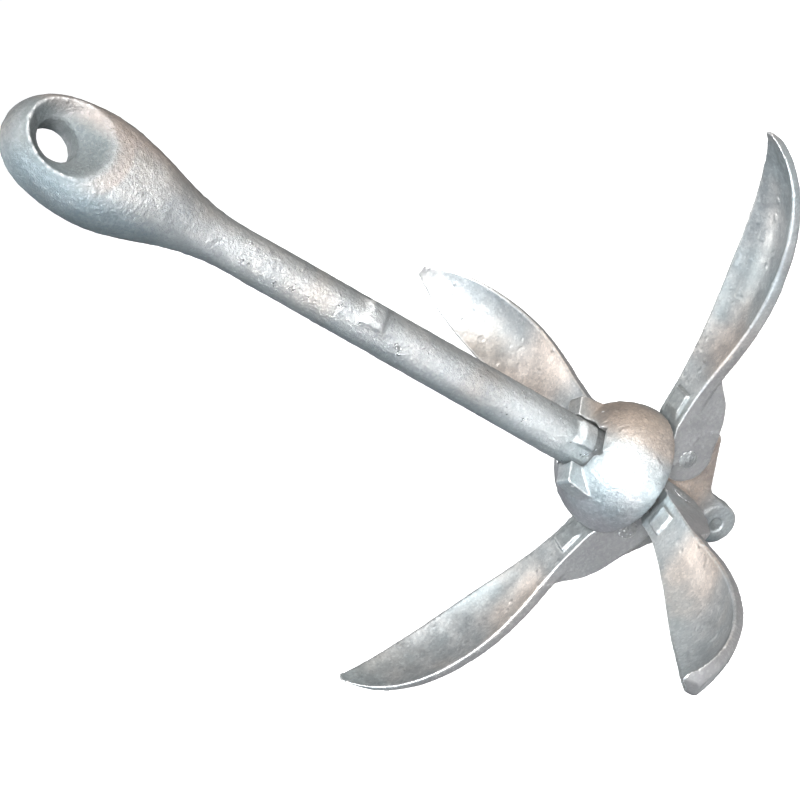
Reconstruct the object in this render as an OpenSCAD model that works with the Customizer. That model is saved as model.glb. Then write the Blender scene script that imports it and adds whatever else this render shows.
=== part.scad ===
// Folding grapnel anchor: tapered shank with a teardrop eye and a cast crown,
// a sliding locking collar, and four flukes hinged in the crown on rivets.
// Units mm. Origin: centre of the trip-line hole in the crown. +Z runs up the shank
// to the main eye; the flukes point along +X, +Y, -X and -Y when open.

/* [Shank] */
// Height of the main eye hole above the trip-line hole
eye_z = 321.5; // [318:0.5:326]
// Shank radius where it leaves the crown
shank_r_low = 10.2; // [10:0.1:10.4]
// Shank radius at the neck under the eye
shank_r_top = 8.6; // [8.2:0.1:9.2]
// Height of the neck, where the eye starts to swell
neck_z = 246; // [240:1:250]
// Half width of the eye at its widest
eye_half_w = 19.6; // [18.5:0.1:21]
// Thickness of the eye along its hole
eye_thick = 29; // [27:0.5:31]
// Main eye hole radius
eye_hole_r = 7; // [6.5:0.1:7.5]
// Radius of the dished mouth of the main eye hole
eye_mouth_r = 15.6; // [15:0.1:16]
// Length of the straight wall inside the main eye hole
eye_land = 9; // [8:0.5:10]

/* [Shank lugs] */
// Height of the lower end of the lower lugs
lug_low_z = 83.4; // [83:0.2:85]
// Height of the lower end of the upper lugs
lug_high_z = 191.5; // [188:0.5:195]
// Width of each lug around the shank
lug_w = 10.6; // [9:0.2:10.8]
// Length of each lug along the shank
lug_len = 9.8; // [8:0.2:11]
// Outer radius of the lower lugs
lug_low_r = 11.9; // [11.6:0.1:12.4]
// Outer radius of the upper lugs, which stand out less
lug_high_r = 10.7; // [10.4:0.1:11.2]

/* [Crown] */
// Distance of each hinge from the shank axis
hinge_r = 19.6; // [19.4:0.1:20]
// Height of the hinges above the trip-line hole
hinge_z = 40.5; // [40.2:0.1:40.8]
// Thickness of the crown arms
arm_t = 6; // [5.4:0.2:6.2]
// Trip-line hole radius
trip_hole_r = 3.3; // [3:0.1:3.8]
// Outer radius of the trip-line eye
trip_eye_r = 9.6; // [9:0.1:10]
// Thickness of the trip-line eye
trip_eye_t = 7.6; // [7:0.2:9]

/* [Flukes] */
// Width of the forked root of a fluke
root_w = 16; // [15.6:0.1:16.4]
// Width of the slot between the two cheeks
slot_w = 6.7; // [6.6:0.1:7]
// Radius of the rounded cheek end around the hinge
cheek_r = 11; // [10.8:0.1:11.1]
// Thickness of the blade where it leaves the root
blade_t = 5.6; // [5:0.1:6.4]
// Thickness of the blade near its tip
tip_t = 3.4; // [3:0.1:4]
// Greatest width of the blade
blade_w = 31.6; // [29:0.2:32]
// Rest angle of each fluke above fully open, east, north, west and south
fluke_lift = [2, 7, -2, 0]; // [-2:0.5:7]
// Sideways lean of each cast blade, seen from above
fluke_lean = [-1.5, 0, -2.5, -5.5]; // [-6:0.5:6]
// Rivet radius
pin_r = 3; // [2.6:0.1:3.2]
// Radial running clearance of the rivet in the cheeks
pin_gap = 0.05; // [0.03:0.01:0.09]

/* [Collar] */
// Outer radius of the collar rim
collar_r = 28.2; // [27.6:0.1:28.6]
// Wall thickness of the collar
collar_wall = 5; // [4.5:0.1:5.4]
// Radius of the sliding bore of the collar
collar_bore_r = 10.9; // [10.7:0.1:11.1]
// Height of the domed part of the collar above the rim
dome_h = 25.4; // [25:0.1:25.8]
// Height of the two horns above the rim
horn_h = 31.5; // [30.5:0.1:32.5]
// Distance of the outer end of each horn from the axis
horn_r = 19.4; // [18.6:0.1:20.2]
// Width of the horns
horn_w = 7.4; // [6.6:0.1:8.4]

/* [Hidden] */
$fn = 96;
zinc = [0.69, 0.71, 0.73];
zinc_dark = [0.60, 0.62, 0.64];
lug_az = -45;                        // lugs and eye hole lie on this azimuth
crown_top_z = 54;                    // height where the full round shank starts
rim_z = 57;                          // collar rim height at rest
horn_az = 47;                        // azimuth of the first horn
eye_end_z = eye_z + 16.6;
eye_wide_z = eye_z - 14.8;           // height of the widest part of the eye
ridge_start = [24.4, 53.2];          // inner end of a fluke's front ridge
ridge_knee = [29, 55.5];             // the ridge is lower inside this, to fold past the shank
ridge_bend = [65.3, 61.1];           // where the ridge starts to curl up
ridge_tip = [140.8, 104.7];          // tip of a fluke, 0 degrees of lift
slot_end = 25.7;                     // the slot is open at the top up to here
blade_steps = 20;

// Point at parameter t on a cubic curve with end points a, d and handles b, c
function cubic(a, b, c, d, t) =
  pow(1 - t, 3) * a + 3 * pow(1 - t, 2) * t * b + 3 * (1 - t) * t * t * c + t * t * t * d;

// Evenly spaced points on such a curve
function curve(a, b, c, d, n) = [for (i = [0:n]) cubic(a, b, c, d, i / n)];

// A list in the opposite order
function flip(v) = [for (i = [len(v) - 1:-1:0]) v[i]];

// The ridge along the front of a fluke, from the root to the tip
ridge = concat(
  [ridge_start, ridge_knee],
  curve(ridge_bend, [89.6, 65.3], [134.4, 79.2], ridge_tip, blade_steps)
);

// Unit direction of the ridge at its point i
function along(i) =
  let (d = ridge[min(i + 1, len(ridge) - 1)] - ridge[max(i - 1, 0)]) d / norm(d);

// Blade thickness at ridge point i, thinner towards the tip
function thick_at(i) = blade_t + (tip_t - blade_t) * max(0, i - 2) / blade_steps;

// Ridge point i moved square to the ridge through the blade
function under(i) = ridge[i] + thick_at(i) * [along(i)[1], -along(i)[0]];

// Half outline of the leaf-shaped blade seen from above
function leaf(w) = concat(
  curve([38, root_w / 2], [58, root_w / 2 + 0.4], [76, w], [98, w], 14),
  curve([98, w], [116, w], [ridge_tip[0] - 3.5, w * 0.84], [ridge_tip[0] + 1.4, 0], 16)
);

// Profile in the radius-height plane, extruded across it to width w
module slab(w) {
  rotate([90, 0, 0]) linear_extrude(height = w, center = true) children();
}

// Full leaf outline, leaning sideways about the middle of the root
module leaf_plan(lean) {
  half = leaf(blade_w / 2);
  translate([38, 0]) rotate(lean) translate([-38, 0])
    polygon(concat(half, [for (p = flip(half)) [p[0], -p[1]]]));
}

// Radial crown arm: lower edge rising outward, stop face, rounded top
module arm_profile() {
  polygon([
    [0, crown_top_z - 4], [0, 14.8], [12.8, 14.8],
    [34.2, 29.3], [34.2, 35.4], [33.4, 40.4], [30.4, 46.2], [27, 48.8],
    [23.4, 50], [14, 50]
  ]);
}

// Arm outline enlarged about the hinge, to cut the slot in a fluke
module slot_profile() {
  translate([hinge_r, hinge_z]) scale(1.06)
    translate([-hinge_r, -hinge_z]) arm_profile();
}

// Solid side outline of the forked root, cheeks and web together
module root_profile() {
  translate([hinge_r, hinge_z]) circle(r = cheek_r);
  polygon(concat(
    [[14.9, 50.4], [19.4, 51.7], ridge_start, ridge_knee, ridge_bend, [67, 59.4]],
    curve([67, 59.4], [56, 57], [54, 51], [47.6, 42.6], 6),
    curve([47.6, 42.6], [41, 36.8], [33, 34.6], [22.6, 29.9], 6),
    [[hinge_r, 35], [11, 43]]
  ));
}

// Blade outline in side view, front along the ridge and back one thickness below it
module blade_profile() {
  polygon(concat(ridge, [for (i = [len(ridge) - 1:-1:0]) under(i)]));
}

// Raised pad on the ridge just outside the collar rim
module pad() {
  slab(9) polygon([[30.4, 53], [30.4, 55.7], [34.2, 58], [41.6, 59], [42.8, 56]]);
}

// One fluke along +X, fully open, its blade leaning sideways
module open_fluke(lean) {
  difference() {
    union() {
      slab(root_w) root_profile();
      intersection() {
        slab(blade_w * 2) blade_profile();
        linear_extrude(height = 140) leaf_plan(lean);
      }
      pad();
    }
    slab(slot_w) slot_profile();
    slab(slot_w) polygon([[0, 30], [slot_end, 30], [slot_end, 70], [0, 70]]);
    translate([hinge_r, 0, hinge_z]) rotate([90, 0, 0])
      cylinder(r = pin_r + pin_gap, h = root_w + 2, center = true);
  }
}

// Fluke number i at its rest angle, turned to its own quarter
module fluke(i) {
  rotate([0, 0, 90 * i]) translate([hinge_r, 0, hinge_z]) rotate([0, -fluke_lift[i], 0])
    translate([-hinge_r, 0, -hinge_z]) open_fluke(fluke_lean[i]);
}

// One rivet along +X, with a low domed head outside each cheek
module pin() {
  translate([hinge_r, 0, hinge_z]) rotate([90, 0, 0]) {
    cylinder(r = pin_r, h = root_w + 0.6, center = true);
    for (s = [0, 1]) mirror([0, 0, s]) intersection() {
      translate([0, 0, root_w / 2 + 0.12]) cylinder(r = pin_r + 1.3, h = 1);
      translate([0, 0, root_w / 2 - 11.1]) sphere(r = 12.1);
    }
  }
}

// Half width of the eye at height z, a teardrop
function eye_w_at(u) = shank_r_top
  + (eye_half_w - shank_r_top) * pow(0.5 - 0.5 * cos(180 * pow(u, 1.25)), 1.15);

// Turned outline of the eye, from the neck to the rounded end
module eye_turned() {
  low = [for (i = [0:16]) [eye_w_at(i / 16), neck_z + (eye_wide_z - neck_z) * i / 16]];
  high = curve([eye_half_w, eye_wide_z], [eye_half_w, eye_wide_z + 17],
               [eye_half_w * 0.62, eye_end_z], [0, eye_end_z], 14);
  rotate_extrude() polygon(concat([[0, neck_z - 2], [shank_r_top, neck_z - 2]], low, high));
}

// Flattened slab that trims the turned eye to its thickness
module eye_trim() {
  half = eye_thick / 2;
  rotate([0, 0, lug_az]) slab_x() polygon([
    [-shank_r_top - 1, neck_z - 4], [shank_r_top + 1, neck_z - 4],
    [half, neck_z + 40], [half, eye_end_z - 9], [half - 5, eye_end_z + 1],
    [5 - half, eye_end_z + 1], [-half, eye_end_z - 9], [-half, neck_z + 40]
  ]);
}

// Profile in the X-Z plane, extruded 80 wide along Y
module slab_x() {
  rotate([90, 0, 0]) linear_extrude(height = 80, center = true) children();
}

// Dished through hole of the main eye, along the lug azimuth
module eye_hole() {
  translate([0, 0, eye_z]) rotate([0, 0, lug_az]) rotate([0, 90, 0])
    rotate_extrude() polygon(concat(
      [[0, -30], [eye_mouth_r + 4, -30], [eye_mouth_r, -eye_thick / 2]],
      curve([eye_mouth_r, -eye_thick / 2], [eye_mouth_r - 3, -eye_thick / 2 + 2.8],
            [eye_hole_r + 2.4, -eye_land / 2 - 2.6], [eye_hole_r, -eye_land / 2], 8),
      curve([eye_hole_r, eye_land / 2], [eye_hole_r + 2.4, eye_land / 2 + 2.6],
            [eye_mouth_r - 3, eye_thick / 2 - 2.8], [eye_mouth_r, eye_thick / 2], 8),
      [[eye_mouth_r + 4, 30], [0, 30]]
    ));
}

// A pair of lugs on opposite sides of the shank, lower end at height z, out to radius r
module lug_pair(z, r) {
  rotate([0, 0, lug_az]) intersection() {
    translate([0, 0, z]) cylinder(r = r, h = lug_len);
    translate([-20, -lug_w / 2, z]) cube([40, lug_w, lug_len]);
    rotate([90, 0, 0]) linear_extrude(height = lug_w, center = true) polygon([
      [-r, z + 0.8], [0.8 - r, z], [r - 0.8, z], [r, z + 0.8],
      [r, z + lug_len - 3], [r - 3, z + lug_len], [3 - r, z + lug_len], [-r, z + lug_len - 3]
    ]);
  }
}

// Crown plate: two opposite arms of the cross
module crown_plate() {
  slab(arm_t) for (s = [0, 1]) mirror([s, 0]) arm_profile();
}

// Tang and trip-line eye below the arms
module trip_tang() {
  slab(arm_t) polygon([
    [-12.8, 15], [-10.6, 11], [-trip_eye_r, 2], [trip_eye_r, 2], [10.6, 11], [12.8, 15]
  ]);
  slab(trip_eye_t) circle(r = trip_eye_r);
}

module shank() color(zinc) difference() {
  union() {
    translate([0, 0, crown_top_z])
      cylinder(r1 = shank_r_low, r2 = shank_r_top, h = neck_z - crown_top_z);
    intersection() {
      eye_turned();
      eye_trim();
    }
    lug_pair(lug_low_z, lug_low_r);
    lug_pair(lug_high_z, lug_high_r);
    translate([0, 0, 49.5]) cylinder(r1 = 8, r2 = shank_r_low, h = crown_top_z - 49.5);
    translate([0, 0, 24]) cylinder(r = 8, h = 26);
    translate([0, 0, 17]) cylinder(r1 = 4.4, r2 = 8, h = 7.01);
    crown_plate();
    rotate([0, 0, 90]) crown_plate();
    trip_tang();
  }
  eye_hole();
  slab(40) circle(r = trip_hole_r);
  for (a = [0:90:270]) rotate([0, 0, a]) translate([hinge_r, 0, hinge_z])
    rotate([90, 0, 0]) cylinder(r = pin_r, h = 12, center = true);
}

// Raised radial horn of the collar, its outer end sloping down into the dome
module horn() {
  foot_z = rim_z + dome_h - 9;
  slab(horn_w) polygon([
    [3, foot_z], [horn_r + 2, foot_z], [horn_r, rim_z + horn_h - 1],
    [horn_r - 1, rim_z + horn_h], [3, rim_z + horn_h]
  ]);
}

module collar() color(zinc) difference() {
  union() {
    intersection() {
      translate([0, 0, rim_z]) sphere(r = collar_r);
      translate([-40, -40, rim_z]) cube([80, 80, dome_h]);
    }
    for (a = [0, 180]) rotate([0, 0, horn_az + a]) horn();
  }
  translate([0, 0, rim_z]) sphere(r = collar_r - collar_wall);
  translate([0, 0, rim_z - 1]) cylinder(r = collar_bore_r, h = 60);
  for (a = [0, 180]) rotate([0, 0, lug_az + a])
    translate([0, -lug_w / 2 - 0.7, rim_z - 1]) cube([lug_low_r + 0.9, lug_w + 1.4, 60]);
}

module fluke_east() color(zinc) fluke(0);
module fluke_north() color(zinc) fluke(1);
module fluke_west() color(zinc) fluke(2);
module fluke_south() color(zinc) fluke(3);

module pin_east() color(zinc_dark) pin();
module pin_north() color(zinc_dark) rotate([0, 0, 90]) pin();
module pin_west() color(zinc_dark) rotate([0, 0, 180]) pin();
module pin_south() color(zinc_dark) rotate([0, 0, 270]) pin();

shank();
collar();
fluke_east();
fluke_north();
fluke_west();
fluke_south();
pin_east();
pin_north();
pin_west();
pin_south();
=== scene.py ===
"""Folding grapnel anchor, hot-dip galvanised iron, in a pale studio.

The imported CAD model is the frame. Each casting is shown by a finer mesh made from its
CAD node: rounded like a sand casting, then shaped and roughened by vertex moves.
"""

import math

import bpy
import numpy as np
from mathutils import Matrix, Vector, noise


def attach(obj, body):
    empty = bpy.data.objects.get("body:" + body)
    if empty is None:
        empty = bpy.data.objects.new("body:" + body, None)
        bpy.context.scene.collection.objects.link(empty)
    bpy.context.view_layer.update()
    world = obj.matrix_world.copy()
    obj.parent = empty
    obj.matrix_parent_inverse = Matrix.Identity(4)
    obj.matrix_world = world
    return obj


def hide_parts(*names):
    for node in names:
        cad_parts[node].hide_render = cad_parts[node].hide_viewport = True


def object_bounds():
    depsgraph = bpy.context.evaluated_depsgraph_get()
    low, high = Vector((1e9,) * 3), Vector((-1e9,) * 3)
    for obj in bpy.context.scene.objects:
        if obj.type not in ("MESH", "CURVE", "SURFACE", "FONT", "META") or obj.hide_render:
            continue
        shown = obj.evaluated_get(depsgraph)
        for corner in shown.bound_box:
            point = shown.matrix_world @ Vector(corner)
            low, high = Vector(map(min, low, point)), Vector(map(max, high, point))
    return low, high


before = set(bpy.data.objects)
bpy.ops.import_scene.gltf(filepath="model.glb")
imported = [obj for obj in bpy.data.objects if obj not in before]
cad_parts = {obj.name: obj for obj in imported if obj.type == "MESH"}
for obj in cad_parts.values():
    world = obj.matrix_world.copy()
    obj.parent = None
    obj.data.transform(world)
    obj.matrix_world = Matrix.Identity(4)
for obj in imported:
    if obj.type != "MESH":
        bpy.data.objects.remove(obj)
cad_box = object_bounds()
floor_z = cad_box[0][2]

MM = 0.001

# Flukes: the way each one points and how far it stands above fully open, in degrees
FLUKES = {
    "east": (0.0, 2.0),
    "north": (90.0, 7.0),
    "west": (180.0, -2.0),
    "south": (270.0, 0.0),
}
HINGE = (19.6 * MM, 40.5 * MM)       # distance from the shank axis, height
ROOT = (44 * MM, 60 * MM)            # distances where a fluke's root turns into its blade
BLADE = (40 * MM, 141 * MM)          # start and end of the dished length
DISH_DEPTH = 4.0 * MM
DISH_FULL = (88 * MM, 106 * MM)      # the dish is deepest between these
DISH_FADE = 0.85                     # share of the depth that is lost towards the tip
DISH_RIM = 1.3 * MM                  # flat rim left around the dish
DISH_RIM_WIDTH = 1 * MM              # the dish is never narrower than this
DISH_STATIONS = 52                   # places along the blade where its width is read

# Main eye and the neck under it
EYE_Z = 321.5 * MM
NECK_Z = 246 * MM
NECK_BLEND = 8 * MM
EYE_SIDE = Vector((1.0, -1.0, 0.0)).normalized()    # the eye hole runs along this
EYE_ROUNDING = 0.6                   # how far the flat-sided eye is turned into an oval one
EYE_HEIGHTS = (242 * MM, 286 * MM, 329 * MM, 339 * MM)
EYE_HALF_THICKNESS = (9.6 * MM, 14.5 * MM, 14.5 * MM, 9.5 * MM)
EYE_RIM = (13.5 * MM, 19 * MM)       # softening fades in between these radii
UPPER_LUGS = (186 * MM, 206 * MM)    # heights
LUG_BLEND = 4 * MM

DRIP_LEVEL = 0.42                    # noise above this becomes a drip
DRIP_TOP = 0.2                       # and this much higher the drip has its full height

# Camera: a short tele lens, looking down at the anchor and rolled on its side
CAM_AZIMUTH = 17.7
CAM_ELEVATION = 29.7
CAM_ROLL = -61.6
CAM_DISTANCE = 0.584
CAM_AIM = Vector((-0.0394, 0.0625, 0.1252))
CAM_LENS = 60.4
SENSOR = 36.0
CAM_NEAR = 0.01
# Level and to the right of the camera before its roll; the warm side of the studio
SIDE_WAY = Vector((math.cos(math.radians(CAM_AZIMUTH)), math.sin(math.radians(CAM_AZIMUTH)), 0.0))


# ---------------------------------------------------------------- mesh helpers

def link(name, data):
    obj = bpy.data.objects.new(name, data)
    bpy.context.scene.collection.objects.link(obj)
    return obj


def bake(obj):
    """Applies all modifiers of obj and keeps the result as its mesh."""
    graph = bpy.context.evaluated_depsgraph_get()
    mesh = bpy.data.meshes.new_from_object(obj.evaluated_get(graph))
    old = obj.data
    obj.modifiers.clear()
    obj.data = mesh
    bpy.data.meshes.remove(old)


def casting(node, voxel, rounds):
    """A remeshed copy of a CAD node, its edges rounded like those of a casting."""
    obj = link(node + "_cast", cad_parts[node].data.copy())
    remesh = obj.modifiers.new("remesh", "REMESH")
    remesh.mode = "VOXEL"
    remesh.voxel_size = voxel
    remesh.adaptivity = 0.0
    smooth = obj.modifiers.new("smooth", "SMOOTH")
    smooth.factor = 0.5
    smooth.iterations = rounds
    bake(obj)
    obj.data.shade_smooth()
    return obj


def smooth_step(x, low, high):
    t = np.clip((x - low) / (high - low), 0.0, 1.0)
    return t * t * (3.0 - 2.0 * t)


def vertex_data(obj, name):
    data = np.empty(len(obj.data.vertices) * 3)
    obj.data.vertices.foreach_get(name, data)
    return data.reshape(-1, 3)


def get_points(obj):
    return vertex_data(obj, "co")


def set_points(obj, points):
    obj.data.vertices.foreach_set("co", points.ravel())
    obj.data.update()


def soften(obj, weight, rounds):
    """Rounds the parts of a mesh where weight, one number per point, is above 0."""
    levels = 10
    group = obj.vertex_groups.new(name="soft")
    for level in range(1, levels + 1):
        chosen = np.nonzero(np.round(weight * levels).astype(int) == level)[0]
        group.add(chosen.tolist(), level / levels, "REPLACE")
    smooth = obj.modifiers.new("soften", "SMOOTH")
    smooth.factor = 0.5
    smooth.iterations = rounds
    smooth.vertex_group = "soft"
    bake(obj)
    obj.vertex_groups.clear()


def noise_at(points, grain, shift):
    return np.array([noise.noise(Vector(p) / grain + shift) for p in points])


def roughen(obj, depth, grain, seed, drip=0.0, drip_size=1.0):
    """Uneven as-cast skin, with a few raised drips of zinc."""
    points = get_points(obj)
    normals = vertex_data(obj, "normal")
    shift = Vector((seed * 7.3, seed * 3.1, seed * 5.7))
    amount = noise_at(points, grain, shift) * depth
    if drip:
        spots = noise_at(points, drip_size, -shift)
        amount += np.clip(spots - DRIP_LEVEL, 0.0, DRIP_TOP) / DRIP_TOP * drip
    set_points(obj, points + normals * amount[:, None])


# ---------------------------------------------------------------- node helpers

def feed(tree, socket, value):
    """Links value to socket, or sets it if it is a plain number or colour."""
    if isinstance(value, bpy.types.NodeSocket):
        tree.links.new(value, socket)
    else:
        socket.default_value = value


def noise_node(tree, coords, scale, detail, rough):
    node = tree.nodes.new("ShaderNodeTexNoise")
    node.inputs["Scale"].default_value = scale
    node.inputs["Detail"].default_value = detail
    node.inputs["Roughness"].default_value = rough
    tree.links.new(coords, node.inputs["Vector"])
    return node.outputs["Fac"]


def cells(tree, coords, scale):
    node = tree.nodes.new("ShaderNodeTexVoronoi")
    node.inputs["Scale"].default_value = scale
    tree.links.new(coords, node.inputs["Vector"])
    return node


def ramp(tree, value, stops):
    """Colours blended along value; each stop is (place, (red, green, blue))."""
    node = tree.nodes.new("ShaderNodeValToRGB")
    band = node.color_ramp
    while len(band.elements) < len(stops):
        band.elements.new(0.5)
    for element, (place, color) in zip(band.elements, stops):
        element.position = place
        element.color = (*color, 1.0)
    tree.links.new(value, node.inputs["Fac"])
    return node.outputs["Color"]


def mix_color(tree, fac, a, b, mode="MIX"):
    node = tree.nodes.new("ShaderNodeMix")
    node.data_type = "RGBA"
    node.blend_type = mode
    feed(tree, node.inputs["Factor"], fac)
    for name, value in (("A", a), ("B", b)):
        plain = isinstance(value, tuple)
        feed(tree, node.inputs[name], (*value, 1.0) if plain else value)
    return node.outputs["Result"]


def math_node(tree, operation, a, b):
    node = tree.nodes.new("ShaderNodeMath")
    node.operation = operation
    feed(tree, node.inputs[0], a)
    feed(tree, node.inputs[1], b)
    return node.outputs[0]


def vector_math(tree, operation, a, b=None, result="Vector"):
    node = tree.nodes.new("ShaderNodeVectorMath")
    node.operation = operation
    tree.links.new(a, node.inputs[0])
    if b is not None:
        node.inputs[1].default_value = b
    return node.outputs[result]


def up_part(tree, vector):
    node = tree.nodes.new("ShaderNodeSeparateXYZ")
    tree.links.new(vector, node.inputs[0])
    return node.outputs["Z"]


def span(tree, value, low, high, top=1.0):
    """0 at low, top at high, smooth between; low may be the larger one."""
    node = tree.nodes.new("ShaderNodeMapRange")
    node.interpolation_type = "SMOOTHSTEP"
    tree.links.new(value, node.inputs["Value"])
    node.inputs["From Min"].default_value = low
    node.inputs["From Max"].default_value = high
    node.inputs["To Max"].default_value = top
    return node.outputs["Result"]


def dress(obj, mat):
    obj.data.materials.clear()
    obj.data.materials.append(mat)


# ---------------------------------------------------------------- galvanised iron

METALLIC = 0.78
DULL_ROUGHNESS = 0.8                 # of a zone whose dulling is 1
ZONE_BLEND = 0.3                     # share of a zone's width over which it fades

# Zinc colours, before a coat's shade: three greys from dark to pale, and two tints
ZINC_GREYS = (
    (0.34, (0.58, 0.62, 0.635)),
    (0.50, (0.69, 0.715, 0.72)),
    (0.68, (0.80, 0.805, 0.80)),
)
ZINC_WARM = (0.80, 0.66, 0.54)
ZINC_COOL = (0.50, 0.62, 0.66)
COOL_STRENGTH = 0.5

SPARKLE = (
    (0.0, (0.80, 0.81, 0.83)),
    (0.7, (0.96, 0.96, 0.96)),
    (1.0, (1.12, 1.12, 1.12)),
)
PIT = (0.30, 0.31, 0.32)
# bright worn edges, partly a painted edge highlight
WORN_EDGE_AND_HIGHLIGHT = (0.93, 0.94, 0.95)
# painted shade in creases and hollows, standing in for contact shadow
CREVICE_SHADE = (0.16, 0.17, 0.18)
GRAZING_SHADE = (0.10, 0.11, 0.12)         # painted shade where the surface is seen at a grazing angle

# Noise and cell scales, per metre
TINT_SCALE = 16.0
CLOUD_SCALE = 70.0
BLOTCH_SCALE = 150.0
CRYSTAL_SCALE = 1000.0
SPECKLE_SCALE = 1300.0
DENTS_PER_GRAIN = 0.6


def shaded(color, shade):
    return tuple(c * shade for c in color)


def measures(tree, coords):
    """What a zone can go by: how far the surface faces up, height, distance from the shank
    axis, distance towards the warm side, and distance from the axis of the main eye hole."""
    flat = vector_math(tree, "MULTIPLY", coords, (1.0, 1.0, 0.0))
    from_eye = vector_math(tree, "SUBTRACT", coords, (0.0, 0.0, EYE_Z))
    off_axis = vector_math(tree, "CROSS_PRODUCT", from_eye, EYE_SIDE)
    return {
        "upward": up_part(tree, coords.node.outputs["Normal"]),
        "height": up_part(tree, coords),
        "radius": vector_math(tree, "LENGTH", flat, result="Value"),
        "side": vector_math(tree, "DOT_PRODUCT", coords, SIDE_WAY, "Value"),
        "eye": vector_math(tree, "LENGTH", off_axis, result="Value"),
    }


def zoned(tree, base, tint, place, zones):
    """base with the colours of all zones, and how dull each spot is (None without zones)."""
    dullness = None
    for measure, low, high, color, strength, dulling in zones:
        soft = (high - low) * ZONE_BLEND
        rise = span(tree, place[measure], low, low + soft)
        fall = span(tree, place[measure], high, high - soft)
        patch = span(tree, tint, 0.30, 0.55, strength)
        inside = math_node(tree, "MULTIPLY", math_node(tree, "MULTIPLY", rise, fall), patch)
        base = mix_color(tree, inside, base, color)
        dull = math_node(tree, "MULTIPLY", inside, dulling)
        dullness = dull if dullness is None else math_node(tree, "MAXIMUM", dullness, dull)
    return base, dullness


def galvanised(name, shade, rough, grain_size, bump_depth, warmth, wear_and_highlight=0.85, zones=()):
    """Zinc coat: cloudy greys, warm and cool tints, sparkle, pits, bright worn edges that are
    partly a painted edge highlight, and painted shade in crevices and at grazing angles.

    Each zone is (measure, low, high, colour, strength, dulling): a tint, and a rougher
    coat, where the measure lies between low and high. Some zones are painted light or shade.
    """
    mat = bpy.data.materials.new(name)
    mat.use_nodes = True
    tree = mat.node_tree
    tree.nodes.clear()
    out = tree.nodes.new("ShaderNodeOutputMaterial")
    bsdf = tree.nodes.new("ShaderNodeBsdfPrincipled")
    tree.links.new(bsdf.outputs["BSDF"], out.inputs["Surface"])
    coords = tree.nodes.new("ShaderNodeTexCoord").outputs["Object"]
    edge = tree.nodes.new("ShaderNodeNewGeometry").outputs["Pointiness"]
    away = tree.nodes.new("ShaderNodeLayerWeight").outputs["Facing"]

    # Colour
    tint = noise_node(tree, coords, TINT_SCALE, 3.0, 0.55)
    clouds = noise_node(tree, coords, CLOUD_SCALE, 6.0, 0.66)
    base = ramp(tree, clouds, [(at, shaded(grey, shade)) for at, grey in ZINC_GREYS])
    base = mix_color(tree, span(tree, tint, 0.52, 0.66, warmth), base, shaded(ZINC_WARM, shade))
    cool = span(tree, tint, 0.47, 0.34, COOL_STRENGTH)
    base = mix_color(tree, cool, base, shaded(ZINC_COOL, shade))
    base, dullness = zoned(tree, base, tint, measures(tree, coords), zones)

    crystal = tree.nodes.new("ShaderNodeSeparateColor")
    tree.links.new(cells(tree, coords, CRYSTAL_SCALE).outputs["Color"], crystal.inputs[0])
    sparkle = ramp(tree, crystal.outputs[0], SPARKLE)
    base = mix_color(tree, 0.8, base, sparkle, "MULTIPLY")
    speckle = noise_node(tree, coords, SPECKLE_SCALE, 3.0, 0.75)
    base = mix_color(tree, span(tree, speckle, 0.43, 0.33, 0.55), base, PIT)
    # worn edges, also a painted highlight on convex edges
    base = mix_color(tree, span(tree, edge, 0.515, 0.57, wear_and_highlight), base, WORN_EDGE_AND_HIGHLIGHT)
    # painted shade: darker where the surface is concave (low pointiness)
    base = mix_color(tree, span(tree, edge, 0.485, 0.41, 0.9), base, CREVICE_SHADE)
    # painted shade towards the silhouette, where the surface turns away from the view
    base = mix_color(tree, span(tree, away, 0.80, 0.97, 0.7), base, GRAZING_SHADE)
    tree.links.new(base, bsdf.inputs["Base Color"])
    bsdf.inputs["Metallic"].default_value = METALLIC

    # Roughness
    blotch = noise_node(tree, coords, BLOTCH_SCALE, 5.0, 0.65)
    gloss = ramp(tree, blotch, [(0.32, (rough + 0.12,) * 3), (0.68, (rough - 0.08,) * 3)])
    gloss = mix_color(tree, 0.35, gloss, sparkle, "MULTIPLY")
    if dullness is not None:
        gloss = mix_color(tree, dullness, gloss, (DULL_ROUGHNESS,) * 3)
    tree.links.new(gloss, bsdf.inputs["Roughness"])

    # Bump
    grain = noise_node(tree, coords, grain_size, 5.0, 0.68)
    dents = cells(tree, coords, grain_size * DENTS_PER_GRAIN).outputs["Distance"]
    dents = ramp(tree, dents, [(0.0, (0.0,) * 3), (0.25, (1.0,) * 3)])
    bump = tree.nodes.new("ShaderNodeBump")
    bump.inputs["Strength"].default_value = 1.0
    bump.inputs["Distance"].default_value = bump_depth
    tree.links.new(mix_color(tree, 0.4, grain, dents, "MULTIPLY"), bump.inputs["Height"])
    tree.links.new(bump.outputs["Normal"], bsdf.inputs["Normal"])
    return mat


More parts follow.
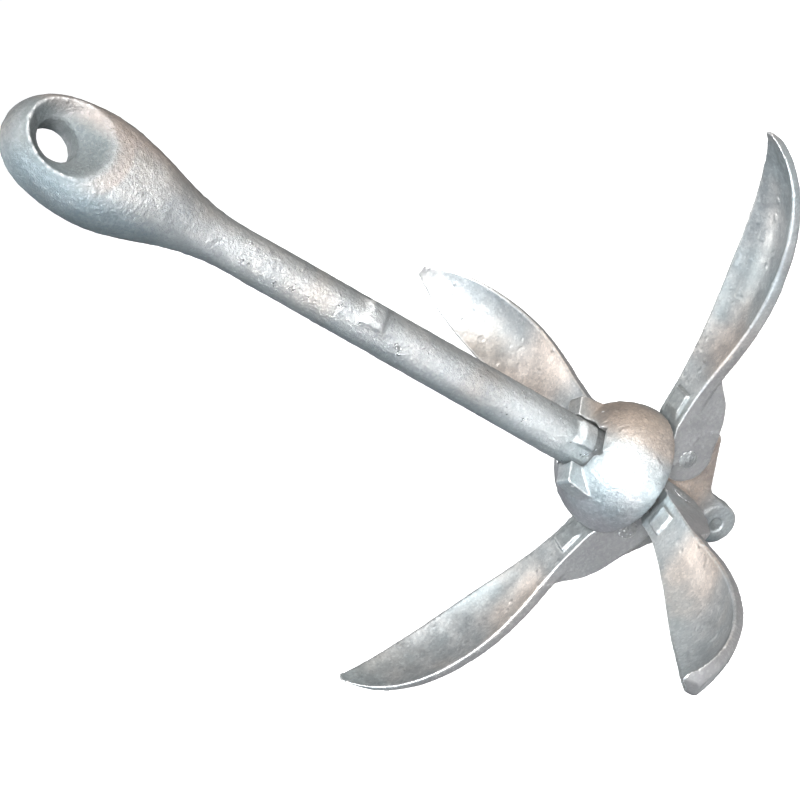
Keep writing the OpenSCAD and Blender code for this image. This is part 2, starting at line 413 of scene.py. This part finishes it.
shank_coat = galvanised(
    "galvanised_grainy", shade=0.60, rough=0.34, grain_size=880.0, bump_depth=0.50 * MM,
    warmth=0.40, wear_and_highlight=0.6, zones=(
        ("height", 6 * MM, 56 * MM, (0.62, 0.50, 0.41), 0.75, 0.3),        # brown crown
        ("height", -14 * MM, 9 * MM, (0.66, 0.74, 0.76), 0.5, 0.2),        # pale tang
        ("eye", 15 * MM, 23 * MM, (0.40, 0.345, 0.31), 0.6, 0.5),          # brownish ring round the eye
        ("eye", -8 * MM, 20.5 * MM, (0.19, 0.215, 0.22), 1.0, 0.9),        # dark dish of the eye
        ("height", 60 * MM, 140 * MM, (0.66, 0.70, 0.71), 0.6, 0.0),       # rubbed by the collar
        ("side", 8 * MM, 34 * MM, (0.38, 0.33, 0.30), 0.9, 0.5),           # painted warm shade on the side towards the warm fill light
        ("side", -34 * MM, -2 * MM, (0.23, 0.285, 0.31), 0.9, 0.2),        # painted cool blue-grey shade on the side away from the warm light
    ))
collar_coat = galvanised(
    "galvanised_collar", shade=0.68, rough=0.38, grain_size=800.0, bump_depth=0.32 * MM,
    warmth=0.35, zones=(
        ("side", -32 * MM, -2 * MM, (0.56, 0.54, 0.60), 0.5, 0.2),         # painted mauve shade on the side away from the warm light
        ("side", 6 * MM, 32 * MM, (0.48, 0.37, 0.29), 0.65, 0.4),          # painted warm brown shade on the side towards the warm light
    ))
fluke_coat = galvanised(
    "galvanised_satin", shade=0.78, rough=0.40, grain_size=430.0, bump_depth=0.13 * MM,
    warmth=0.40, zones=(
        ("radius", 50 * MM, 96 * MM, (0.90, 0.74, 0.63), 0.5, 0.1),        # painted warm sheen on the inner blade
        ("radius", 4 * MM, 50 * MM, (0.34, 0.37, 0.375), 0.95, 0.4),       # dull root
        ("upward", -0.6, 0.42, (0.37, 0.37, 0.375), 0.9, 0.3),             # painted shade, darker and rougher, on walls that do not face up
    ))
rivet_coat = galvanised(
    "galvanised_rivet", shade=0.55, rough=0.46, grain_size=900.0, bump_depth=0.40 * MM,
    warmth=0.3)


# ---------------------------------------------------------------- pieces

def hand_over(obj, mat, body, node):
    """Gives a finished piece its material, its body and the CAD node that it replaces."""
    dress(obj, mat)
    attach(obj, body)
    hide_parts(node)


def round_eye(obj):
    """Turns the flat-sided cross-section of the eye and its neck towards an oval."""
    points = get_points(obj)
    side = np.array(EYE_SIDE)
    deep = points @ side
    wide = points @ np.array((-side[1], side[0], 0.0))
    height = points[:, 2]
    places = np.arange(NECK_Z, height.max(), MM)
    near = [np.abs(height - place) < MM for place in places]
    half_w = np.interp(height, places, [np.abs(wide[n]).max() for n in near])
    half_t = np.minimum(np.interp(height, EYE_HEIGHTS, EYE_HALF_THICKNESS), half_w)
    share = np.clip(np.abs(wide) / half_w, 0.0, 0.99)
    round_w = np.sqrt(1.0 - share ** 2)
    flat_sided = np.minimum(half_t, half_w * round_w)
    change = EYE_ROUNDING * (half_t * round_w / flat_sided - 1.0)
    change = np.where(height > NECK_Z, change, 0.0)
    set_points(obj, points + (change * deep)[:, None] * side)


def build_shank():
    obj = casting("shank", voxel=0.7 * MM, rounds=6)
    round_eye(obj)
    points = get_points(obj)
    from_hole = points - np.array((0.0, 0.0, EYE_Z))
    from_axis = np.linalg.norm(np.cross(from_hole, np.array(EYE_SIDE)), axis=1)
    swell = smooth_step(points[:, 2], NECK_Z - NECK_BLEND, NECK_Z + NECK_BLEND)
    soften(obj, swell * smooth_step(from_axis, *EYE_RIM), rounds=90)

    height = get_points(obj)[:, 2]
    low, high = UPPER_LUGS
    above = smooth_step(height, low, low + LUG_BLEND)
    below = smooth_step(-height, -high, LUG_BLEND - high)
    soften(obj, above * below, rounds=12)
    roughen(obj, depth=0.14 * MM, grain=2.2 * MM, seed=1, drip=0.16 * MM, drip_size=4 * MM)
    hand_over(obj, shank_coat, "shank", "shank")


def build_collar():
    obj = casting("collar", voxel=0.5 * MM, rounds=5)
    roughen(obj, depth=0.12 * MM, grain=3.0 * MM, seed=2, drip=0.25 * MM, drip_size=4 * MM)
    hand_over(obj, collar_coat, "collar", "collar")


def to_fluke(points, side):
    """Points in the fluke's own frame, fully open and pointing along +X, and the turn
    that leads there."""
    azimuth, lift = (math.radians(a) for a in FLUKES[side])
    turn = Matrix.Rotation(-azimuth, 3, "Z")
    tilt = Matrix.Rotation(lift, 3, "Y")
    hinge = np.array((HINGE[0], 0.0, HINGE[1]))
    local = points @ np.array(turn).T - hinge
    return local @ np.array(tilt).T + hinge, np.array(tilt @ turn)


def even(row):
    """A row of numbers smoothed over three neighbours on either side."""
    return np.convolve(np.pad(row, 3, mode="edge"), np.ones(7) / 7, mode="valid")


def dish(obj, side):
    """Sinks the middle of the blade, front and back, so that it is spoon-shaped."""
    points = get_points(obj)
    local, turn = to_fluke(points, side)
    x, y, z = local.T
    start, end = BLADE
    stations = np.linspace(start, end, DISH_STATIONS)
    reach = stations[1] - stations[0]
    stations = stations[:-1]
    slices = [np.abs(x - place) < reach for place in stations]
    low, high, level = np.array([(y[s].min(), y[s].max(), z[s].mean()) for s in slices]).T
    middle, half, level = even((low + high) / 2), even((high - low) / 2), even(level)

    rim = np.interp(x, stations, np.maximum(half - DISH_RIM, DISH_RIM_WIDTH))
    across = np.clip(np.abs(y - np.interp(x, stations, middle)) / rim, 0.0, 1.0)
    fade_out = 1.0 - DISH_FADE * smooth_step(x, DISH_FULL[1], end)
    along = smooth_step(x, start, DISH_FULL[0]) * fade_out
    depth = DISH_DEPTH * along * (1.0 - across ** 2)

    slope = np.interp(x, stations, np.gradient(level) / reach)
    down = np.stack([slope, np.zeros(len(x)), -np.ones(len(x))], axis=1)
    down /= np.linalg.norm(down, axis=1)[:, None]
    set_points(obj, points + (down * depth[:, None]) @ turn)


def build_fluke(side):
    node = "fluke_" + side
    obj = casting(node, voxel=0.5 * MM, rounds=6)
    radius = np.linalg.norm(get_points(obj)[:, :2], axis=1)
    soften(obj, smooth_step(radius, *ROOT), rounds=12)
    dish(obj, side)
    roughen(obj, depth=0.16 * MM, grain=7.0 * MM, seed=3 + FLUKES[side][0],
            drip=0.20 * MM, drip_size=3.0 * MM)
    hand_over(obj, fluke_coat, node, node)


def build_rivet(side):
    node = "pin_" + side
    obj = casting(node, voxel=0.25 * MM, rounds=3)
    roughen(obj, depth=0.32 * MM, grain=1.5 * MM, seed=9 + FLUKES[side][0])
    hand_over(obj, rivet_coat, "shank", node)


# ---------------------------------------------------------------- studio

FLOOR_SIZE = 12.0
FLOOR_GLOW = 0.9
FLOOR_PAINT = (0.5, 0.5, 0.5, 1.0)
FLOOR_IN_METAL = (0.18, 0.18, 0.185, 1.0)
WHITE = (1.0, 1.0, 1.0)
SKY_BEHIND = (0.09, 0.095, 0.105)
SKY_IN_FRONT = (0.25, 0.255, 0.26)
SKY_COOL = (0.58, 0.80, 1.0)
SKY_WARM = (1.25, 1.08, 0.92)
SKY_REACH = 0.9                      # the sky's colours blend from minus this to this


def camera_ray(tree):
    return tree.nodes.new("ShaderNodeLightPath").outputs["Is Camera Ray"]


def floor():
    """A pale floor that looks white, but reflects in the metal as grey."""
    bpy.ops.mesh.primitive_plane_add(size=FLOOR_SIZE, location=(0, 0, floor_z))
    obj = bpy.context.object
    obj.name = "floor"
    mat = bpy.data.materials.new("floor_white")
    mat.use_nodes = True
    tree = mat.node_tree
    tree.nodes.clear()
    out = tree.nodes.new("ShaderNodeOutputMaterial")
    glow = tree.nodes.new("ShaderNodeEmission")
    glow.inputs["Color"].default_value = (*WHITE, 1.0)
    glow.inputs["Strength"].default_value = FLOOR_GLOW
    paint = tree.nodes.new("ShaderNodeBsdfDiffuse")
    paint.inputs["Color"].default_value = FLOOR_PAINT
    both = tree.nodes.new("ShaderNodeAddShader")
    dark = tree.nodes.new("ShaderNodeBsdfDiffuse")
    dark.inputs["Color"].default_value = FLOOR_IN_METAL
    pick = tree.nodes.new("ShaderNodeMixShader")
    tree.links.new(glow.outputs[0], both.inputs[0])
    tree.links.new(paint.outputs[0], both.inputs[1])
    tree.links.new(camera_ray(tree), pick.inputs[0])
    tree.links.new(dark.outputs[0], pick.inputs[1])
    tree.links.new(both.outputs[0], pick.inputs[2])
    tree.links.new(pick.outputs[0], out.inputs["Surface"])
    dress(obj, mat)


def sky(right, up, back):
    """White to the camera; in the metal, grey that is warmer to the right and brighter
    behind the camera."""
    world = bpy.data.worlds.new("studio")
    bpy.context.scene.world = world
    world.use_nodes = True
    tree = world.node_tree
    view = tree.nodes.new("ShaderNodeTexCoord").outputs["Generated"]
    to_camera = vector_math(tree, "DOT_PRODUCT", view, back, "Value")
    to_warm = vector_math(tree, "DOT_PRODUCT", view, (right + up).normalized(), "Value")
    tone = mix_color(tree, span(tree, to_camera, -SKY_REACH, SKY_REACH), SKY_BEHIND, SKY_IN_FRONT)
    tint = mix_color(tree, span(tree, to_warm, -SKY_REACH, SKY_REACH), SKY_COOL, SKY_WARM)
    tone = mix_color(tree, 1.0, tone, tint, "MULTIPLY")
    tone = mix_color(tree, camera_ray(tree), tone, WHITE)
    tree.links.new(tone, tree.nodes["Background"].inputs["Color"])
    bpy.context.scene.view_settings.view_transform = "Standard"


def camera_axes():
    """Right, up and back vectors of the camera, roll included."""
    az, el, roll = (math.radians(a) for a in (CAM_AZIMUTH, CAM_ELEVATION, CAM_ROLL))
    back = Vector((math.sin(az) * math.cos(el), -math.cos(az) * math.cos(el), math.sin(el)))
    up = back.cross(SIDE_WAY)
    right = SIDE_WAY * math.cos(roll) + up * math.sin(roll)
    return right, back.cross(right), back


def camera(right, up, back):
    data = bpy.data.cameras.new("camera")
    data.lens = CAM_LENS
    data.sensor_width = SENSOR
    data.clip_start = CAM_NEAR
    obj = link("camera", data)
    turn = Matrix((right, up, back)).transposed().to_4x4()
    obj.matrix_world = Matrix.Translation(CAM_AIM + back * CAM_DISTANCE) @ turn
    bpy.context.scene.camera = obj


def area_light(name, place, target, size, power, color=WHITE, spread=180.0):
    data = bpy.data.lights.new(name, "AREA")
    data.shape = "DISK"
    data.size = size
    data.energy = power
    data.color = color
    data.spread = math.radians(spread)
    obj = link(name, data)
    obj.location = place
    obj.rotation_euler = (target - place).to_track_quat("-Z", "Y").to_euler()


def lights(right, up, back):
    flash_place = CAM_AIM + back * 1.5 + up * 0.1 - right * 0.2
    area_light("flash", flash_place, CAM_AIM, size=0.4, power=46.0)

    # Narrow beams: one from just above the floor for the bright band along the shank, and
    # one for the swelling under the eye
    shank_middle = Vector((0, 0, 0.17))
    low_place = CAM_AIM + Vector((back.x, back.y, 0.0)).normalized() * 0.8
    low_place.z = floor_z + 0.05
    area_light("low", low_place, shank_middle, size=0.12, power=0.12, spread=30)
    bulb = Vector((0, 0, 0.29))
    glint_place = bulb + back * 0.9 - up * 0.3 - right * 0.05
    area_light("glint", glint_place, bulb, size=0.15, power=0.1, spread=25)

    # Soft light from around: warm from the right, cool from the left, from above and behind
    fill_place = CAM_AIM + SIDE_WAY * 0.8 + back * 0.35 + Vector((0, 0, 0.1))
    area_light("fill", fill_place, CAM_AIM, size=0.5, power=2.6, color=(1.0, 0.90, 0.80))
    sky_place = CAM_AIM - SIDE_WAY * 0.8 + back * 0.3 + Vector((0, 0, 0.35))
    area_light("sky", sky_place, CAM_AIM, size=0.6, power=1.2, color=(0.72, 0.90, 1.0))
    top_place = CAM_AIM + Vector((-0.25, -0.16, 0.9))
    area_light("top", top_place, CAM_AIM, size=0.5, power=2.2, color=(1.0, 0.97, 0.93))
    rear_place = CAM_AIM + Vector((-0.42, 0.55, 0.42))
    area_light("rear", rear_place, CAM_AIM, size=0.35, power=1.4, color=(1.0, 0.95, 0.90))


build_shank()
build_collar()
for side in FLUKES:
    build_fluke(side)
    build_rivet(side)

floor()
axes = camera_axes()
sky(*axes)
camera(*axes)
lights(*axes)
